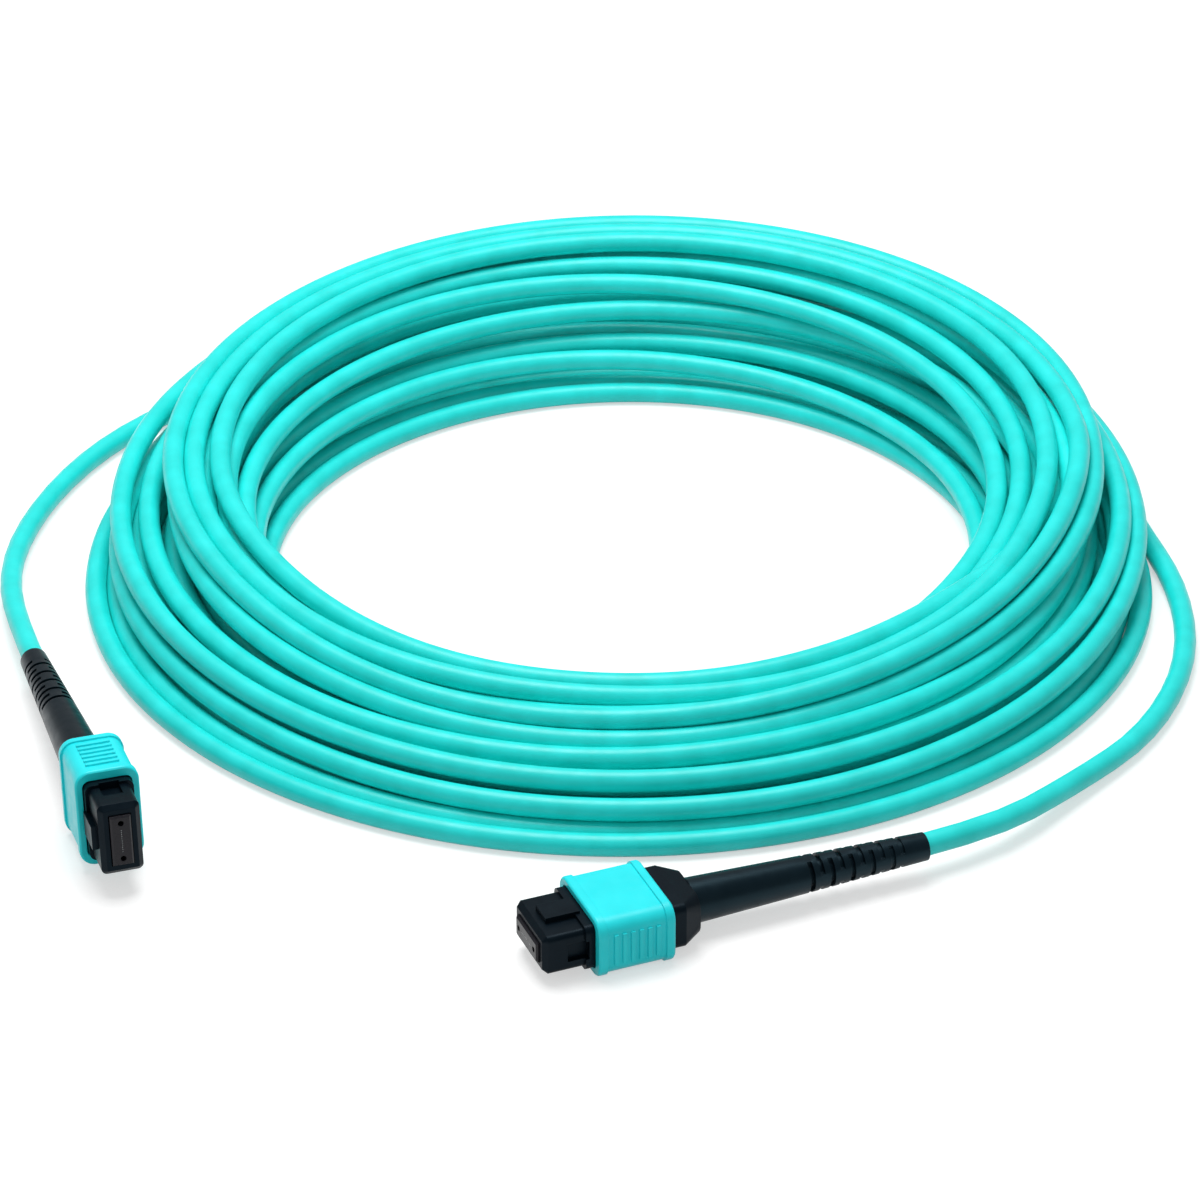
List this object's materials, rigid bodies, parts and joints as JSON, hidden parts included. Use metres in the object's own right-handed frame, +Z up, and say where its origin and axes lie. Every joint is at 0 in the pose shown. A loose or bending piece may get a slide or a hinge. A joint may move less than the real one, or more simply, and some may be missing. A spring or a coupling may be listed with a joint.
{
  "type": "mpo fibre connector with coiled cable",
  "caption": "Rectangular multi-fibre push-on plug with a sprung sliding collar and a floating ferrule, on a coiled round cable that ends in a second such plug.",
  "frame": {"origin": "on the table, under the middle of plug A's length, where plug A lies on a wide side", "axes": "+X along plug A from its mating face towards its cable, +Y across plug A towards the coil, +Z up"},
  "size_m": [0.1575, 0.1581, 0.015],
  "materials": {
    "black_plastic": "satin moulded",
    "boot_rubber": "satin moulded",
    "collar_plastic": "semi-gloss moulded",
    "cable_jacket": "semi-gloss extruded",
    "ferrule_resin": "polished end face",
    "keeper_resin": "moulded",
    "soft_sleeve": "matt",
    "fibre_glass": "polished",
    "ribbon_coat": "satin",
    "spring_steel": "drawn wire",
    "crimp_metal": "plain",
    "aramid_yarn": "yarn"
  },
  "bodies": {
    "plugs_and_cable": {"plug_housing_a": "black_plastic", "main_spring_a": "spring_steel", "spring_push_a": "black_plastic", "collar_spring_left_a": "spring_steel", "collar_spring_right_a": "spring_steel", "yarn_sleeve_a": "aramid_yarn", "crimp_ring_a": "crimp_metal", "strain_boot_a": "boot_rubber", "cable_end_a": "cable_jacket", "plug_housing_b": "black_plastic", "main_spring_b": "spring_steel", "spring_push_b": "black_plastic", "collar_spring_left_b": "spring_steel", "collar_spring_right_b": "spring_steel", "yarn_sleeve_b": "aramid_yarn", "crimp_ring_b": "crimp_metal", "strain_boot_b": "boot_rubber", "cable_end_b": "cable_jacket", "cable_tail_a": "cable_jacket", "cable_coil": "cable_jacket", "cable_tail_b": "cable_jacket"},
    "collar_a": {"coupling_collar_a": "collar_plastic"},
    "ferrule_a": {"mt_ferrule_a": "ferrule_resin", "fibre_ends_a": "fibre_glass", "ferrule_boot_a": "soft_sleeve", "pin_keeper_a": "keeper_resin", "fibre_ribbon_a": "ribbon_coat"},
    "collar_b": {"coupling_collar_b": "collar_plastic"},
    "ferrule_b": {"mt_ferrule_b": "ferrule_resin", "fibre_ends_b": "fibre_glass", "ferrule_boot_b": "soft_sleeve", "pin_keeper_b": "keeper_resin", "fibre_ribbon_b": "ribbon_coat"}
  },
  "joints": [
    {"name": "collar_slide_a", "type": "slide", "parent": "plugs_and_cable", "child": "collar_a", "axis": [1, 0, 0], "range_m": [0, 0.0026], "stiffness_N_per_m": 600, "springref_m": -0.002, "deforming": ["collar_spring_left_a", "collar_spring_right_a"]},
    {"name": "ferrule_float_a", "type": "slide", "parent": "plugs_and_cable", "child": "ferrule_a", "axis": [1, 0, 0], "range_m": [0, 0.0007], "stiffness_N_per_m": 4000, "springref_m": -0.0018, "deforming": ["main_spring_a"]},
    {"name": "collar_slide_b", "type": "slide", "parent": "plugs_and_cable", "child": "collar_b", "axis": [0.0695, 0.9945, -0.0785], "range_m": [0, 0.0026], "stiffness_N_per_m": 600, "springref_m": -0.002, "deforming": ["collar_spring_left_b", "collar_spring_right_b"]},
    {"name": "ferrule_float_b", "type": "slide", "parent": "plugs_and_cable", "child": "ferrule_b", "axis": [0.0695, 0.9945, -0.0785], "range_m": [0, 0.0007], "stiffness_N_per_m": 4000, "springref_m": -0.0018, "deforming": ["main_spring_b"]}
  ]
}
